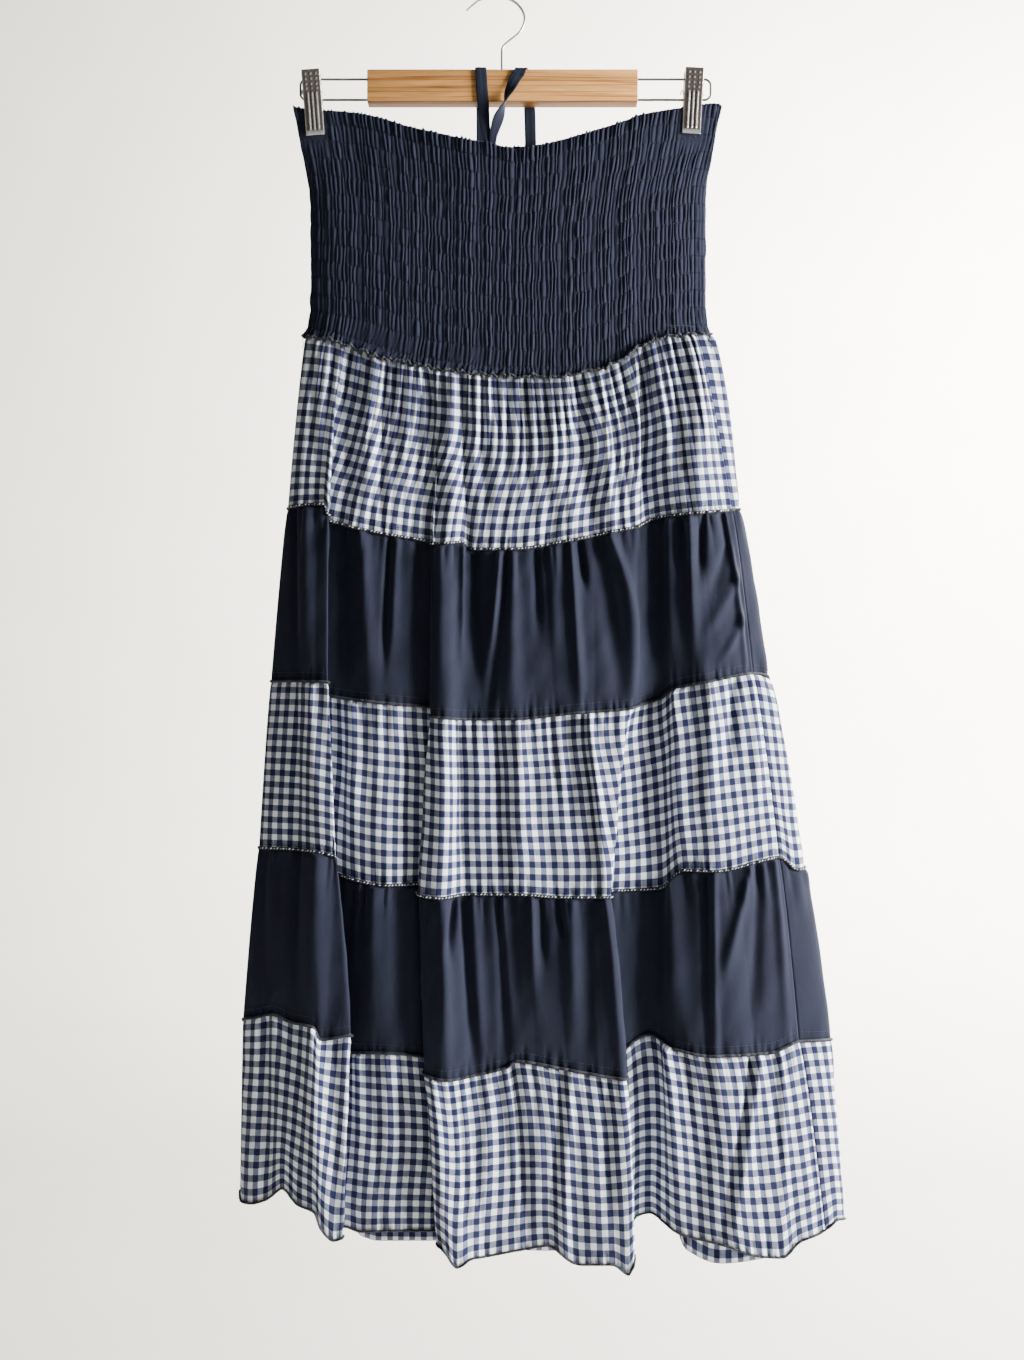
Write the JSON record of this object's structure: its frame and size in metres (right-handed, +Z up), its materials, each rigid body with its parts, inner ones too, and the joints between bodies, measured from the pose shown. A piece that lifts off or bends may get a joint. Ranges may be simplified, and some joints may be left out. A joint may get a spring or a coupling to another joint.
{
  "type": "halter dress on a clip hanger",
  "caption": "Shirred tube bodice with halter ties and a gathered skirt of alternating gingham and plain tiers, hanging flat from a wooden hanger with metal clips.",
  "frame": {"origin": "inside of the hook's top, where a rail or nail holds the hanger", "axes": "+Z up, +Y from the dress's front to its back, +X along the bar towards the right of someone who faces the front"},
  "size_m": [0.6, 0.0758, 1.2792],
  "materials": {
    "navy_cotton": "matt plain weave",
    "gingham_cotton": "woven quarter-inch check, off-white and navy",
    "bar_wood": "clear satin lacquer",
    "plated_wire": "bright plating",
    "clip_chrome": "bright plating"
  },
  "bodies": {
    "root": {"bodice_front": "navy_cotton", "bodice_back": "navy_cotton", "tie_left": "navy_cotton", "tie_right": "navy_cotton", "tier_1_front": "gingham_cotton", "tier_1_back": "gingham_cotton", "tier_2_front": "navy_cotton", "tier_2_back": "navy_cotton", "tier_3_front": "gingham_cotton", "tier_3_back": "gingham_cotton", "tier_4_front": "navy_cotton", "tier_4_back": "navy_cotton", "tier_5_front": "gingham_cotton", "tier_5_back": "gingham_cotton", "hanger_bar": "bar_wood", "hanger_hook": "plated_wire", "wire_left": "plated_wire", "wire_right": "plated_wire", "clip_left_front": "clip_chrome", "clip_left_back": "clip_chrome", "clip_left_spring": "clip_chrome", "clip_right_front": "clip_chrome", "clip_right_back": "clip_chrome", "clip_right_spring": "clip_chrome"}
  },
  "joints": []
}
